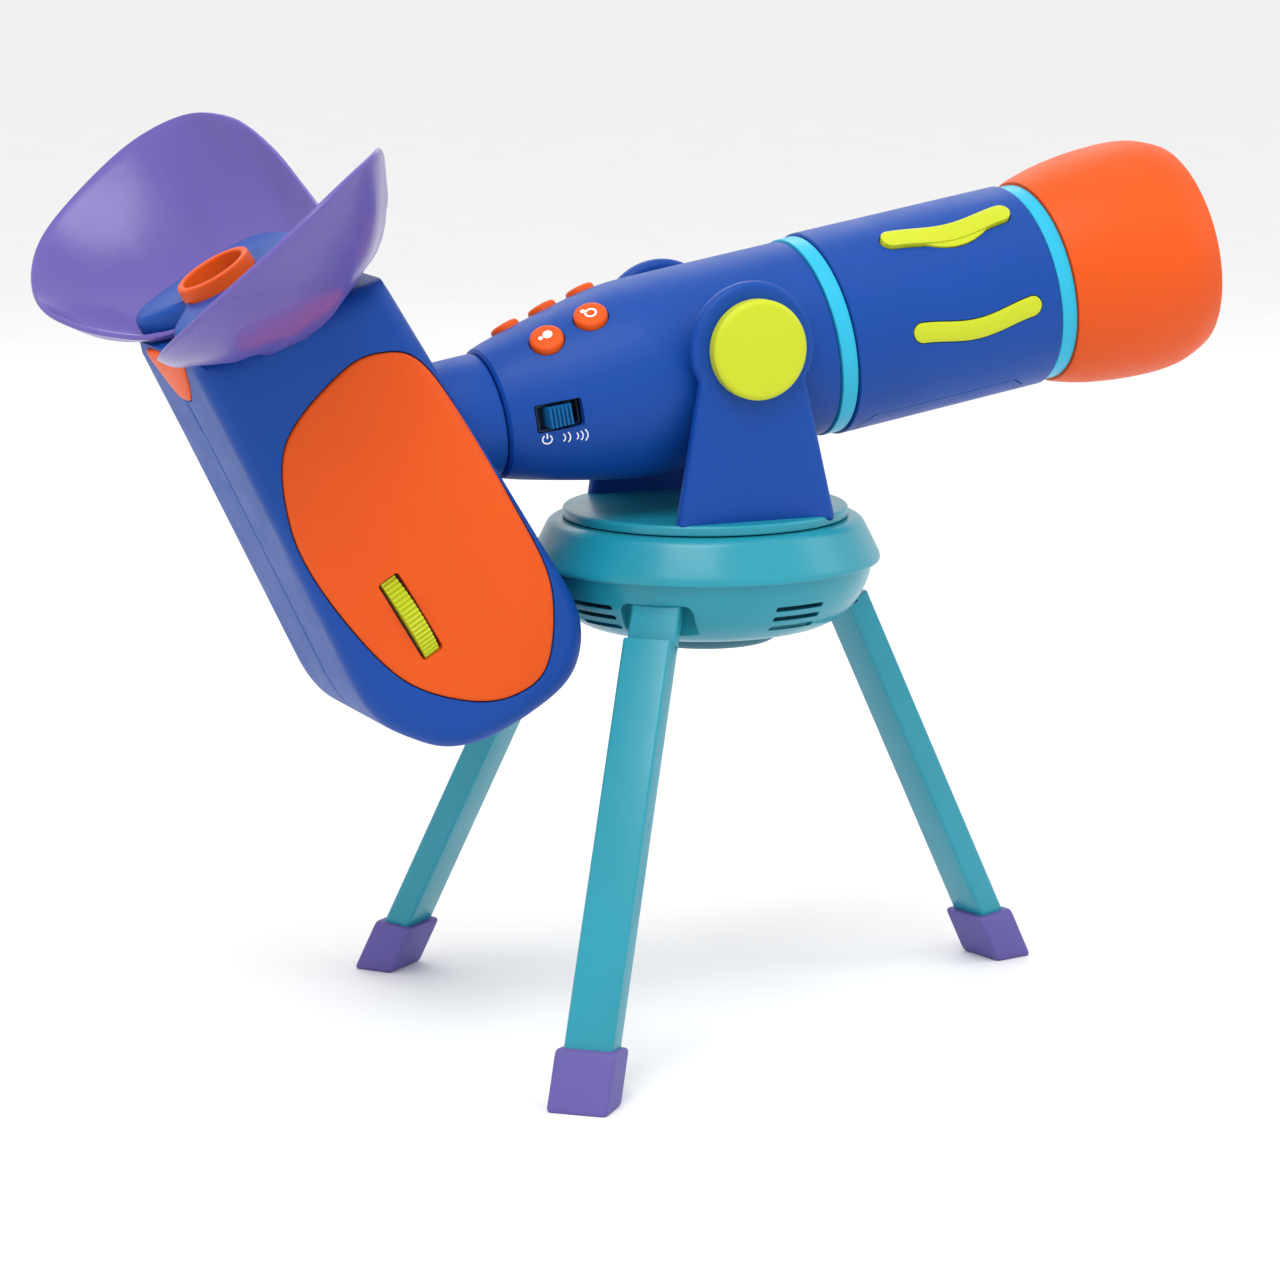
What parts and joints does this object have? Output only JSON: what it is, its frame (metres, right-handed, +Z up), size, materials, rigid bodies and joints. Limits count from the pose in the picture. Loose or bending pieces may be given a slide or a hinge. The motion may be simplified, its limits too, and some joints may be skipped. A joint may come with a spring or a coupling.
{
  "type": "telescope on tripod",
  "caption": "Toy telescope with a hooded periscope eyepiece, press buttons and focus wheel, tilting in a fork on a turntable with folding legs.",
  "frame": {"origin": "centre of the overall box at floor level", "axes": "+Z up, +X the way the tube points, +Y to the left of someone looking through it"},
  "size_m": [0.3558, 0.2004, 0.2765],
  "materials": {
    "blue_shell": "fine satin moulded plastic",
    "orange_shell": "fine satin moulded plastic",
    "purple_gloss": "polished outside, satin inside",
    "teal_shell": "satin gloss moulded plastic",
    "aqua_trim": "satin gloss trim",
    "lime_trim": "satin moulded plastic",
    "dark_inner": "matt",
    "grey_inner": "matt",
    "foot_rubber": "matt soft boot",
    "switch_blue": "satin",
    "steel": "brushed",
    "glass": "clear polished",
    "mirror": "silvered"
  },
  "bodies": {
    "base": {"base_shell": "teal_shell", "base_bowl": "teal_shell", "bottom_cap": "grey_inner", "speaker": "dark_inner", "leg_pin_1": "steel", "leg_pin_2": "steel", "leg_pin_3": "steel"},
    "turret": {"turntable": "teal_shell", "spindle_keeper": "steel", "fork_arm_left": "blue_shell", "fork_arm_right": "blue_shell"},
    "knob_left": {"tilt_knob_left": "lime_trim"},
    "knob_right": {"tilt_knob_right": "lime_trim"},
    "tube": {"viewer_shell_left": "blue_shell", "viewer_shell_right": "blue_shell", "viewer_insert_left": "orange_shell", "viewer_insert_right": "orange_shell", "nose_pad": "orange_shell", "eyepiece_plate": "blue_shell", "eyepiece_ring": "orange_shell", "eyepiece_lens": "glass", "eye_shade": "purple_gloss", "fold_mirror": "mirror", "rear_tube": "blue_shell", "button_board": "grey_inner", "switch_bezel": "dark_inner", "ring_rear": "aqua_trim", "ring_front": "aqua_trim", "front_barrel": "blue_shell", "wave_inlay_right": "lime_trim", "wave_inlay_left": "lime_trim", "battery_1": "steel", "battery_2": "steel", "battery_3": "steel", "battery_tray": "dark_inner", "picture_frame": "dark_inner", "hood_left": "orange_shell", "hood_right": "orange_shell", "objective_lens": "glass", "lens_retainer": "dark_inner", "neck_collar": "blue_shell"},
    "mode_button_1": {"mode_button_1": "orange_shell"},
    "mode_button_2": {"mode_button_2": "orange_shell"},
    "answer_button_1": {"answer_button_1": "orange_shell"},
    "answer_button_2": {"answer_button_2": "orange_shell"},
    "answer_button_3": {"answer_button_3": "orange_shell"},
    "power_switch": {"power_switch": "switch_blue"},
    "image_tab": {"image_tab": "lime_trim"},
    "picture_disc": {"picture_disc": "grey_inner"},
    "battery_door": {"battery_door": "blue_shell"},
    "focus_wheel": {"focus_wheel": "lime_trim"},
    "lens_carriage": {"lens_carriage": "dark_inner"},
    "leg_1": {"leg_1": "teal_shell", "foot_1": "foot_rubber"},
    "leg_2": {"leg_2": "teal_shell", "foot_2": "foot_rubber"},
    "leg_3": {"leg_3": "teal_shell", "foot_3": "foot_rubber"}
  },
  "joints": [
    {"name": "swivel", "type": "hinge", "parent": "base", "child": "turret", "pos_m": [0.01222, -0.00176, 0.15], "axis": [0, 0, 1], "range_deg": [-12, 12]},
    {"name": "tilt", "type": "hinge", "parent": "turret", "child": "tube", "pos_m": [0.01222, -0.00176, 0.2103], "axis": [0, 1, 0], "range_deg": [-1.5, 20]},
    {"name": "knob_turn_left", "type": "hinge", "parent": "turret", "child": "knob_left", "pos_m": [0.01222, -0.00176, 0.2103], "axis": [0, 1, 0], "range_deg": [-90, 90]},
    {"name": "knob_turn_right", "type": "hinge", "parent": "turret", "child": "knob_right", "pos_m": [0.01222, -0.00176, 0.2103], "axis": [0, 1, 0], "range_deg": [-90, 90]},
    {"name": "mode_button_1_press", "type": "slide", "parent": "tube", "child": "mode_button_1", "axis": [0.3579, 0.5519, -0.7532], "range_m": [0, 0.0015], "stiffness_N_per_m": 300},
    {"name": "mode_button_2_press", "type": "slide", "parent": "tube", "child": "mode_button_2", "axis": [0.3291, 0.4985, -0.802], "range_m": [0, 0.0015], "stiffness_N_per_m": 300},
    {"name": "answer_button_1_press", "type": "slide", "parent": "tube", "child": "answer_button_1", "axis": [0.3917, -0.3634, -0.8453], "range_m": [0, 0.0015], "stiffness_N_per_m": 300},
    {"name": "answer_button_2_press", "type": "slide", "parent": "tube", "child": "answer_button_2", "axis": [0.3749, -0.365, -0.8522], "range_m": [0, 0.0015], "stiffness_N_per_m": 300},
    {"name": "answer_button_3_press", "type": "slide", "parent": "tube", "child": "answer_button_3", "axis": [0.34, -0.3679, -0.8655], "range_m": [0, 0.0015], "stiffness_N_per_m": 300},
    {"name": "power_slide", "type": "slide", "parent": "tube", "child": "power_switch", "axis": [0.9855, 0, 0.1697], "range_m": [-0.0022, 0.0022]},
    {"name": "image_tab_press", "type": "slide", "parent": "tube", "child": "image_tab", "axis": [0.1364, 0.5948, -0.7922], "range_m": [0, 0.001], "stiffness_N_per_m": 400},
    {"name": "picture_turn", "type": "hinge", "parent": "tube", "child": "picture_disc", "pos_m": [0.10813, -0.00176, 0.219], "axis": [0.9855, 0, 0.1697], "continuous": true},
    {"name": "door_lift", "type": "slide", "parent": "tube", "child": "battery_door", "axis": [-0.1697, 0, 0.9855], "range_m": [-0.014, 0]},
    {"name": "focus_turn", "type": "hinge", "parent": "tube", "child": "focus_wheel", "pos_m": [-0.09538, -0.01196, 0.13698], "axis": [0.8554, 0, 0.518], "range_deg": [-35, 35]},
    {"name": "lens_slide", "type": "slide", "parent": "tube", "child": "lens_carriage", "axis": [-0.518, 0, 0.8554], "range_m": [-0.004, 0.004]},
    {"name": "leg_fold_1", "type": "hinge", "parent": "base", "child": "leg_1", "pos_m": [-0.01919, -0.03739, 0.1364], "axis": [0.7501, -0.6613, 0], "range_deg": [0, 26]},
    {"name": "leg_fold_2", "type": "hinge", "parent": "base", "child": "leg_2", "pos_m": [-0.01742, 0.03536, 0.1364], "axis": [-0.7815, -0.6239, 0], "range_deg": [0, 26]},
    {"name": "leg_fold_3", "type": "hinge", "parent": "base", "child": "leg_3", "pos_m": [0.0587, 0.00804, 0.1364], "axis": [-0.2062, 0.9785, 0], "range_deg": [0, 26]}
  ],
  "couplings": [
    {"joint": "lens_slide", "follows": "focus_turn", "m_per_rad": 0.0065}
  ]
}
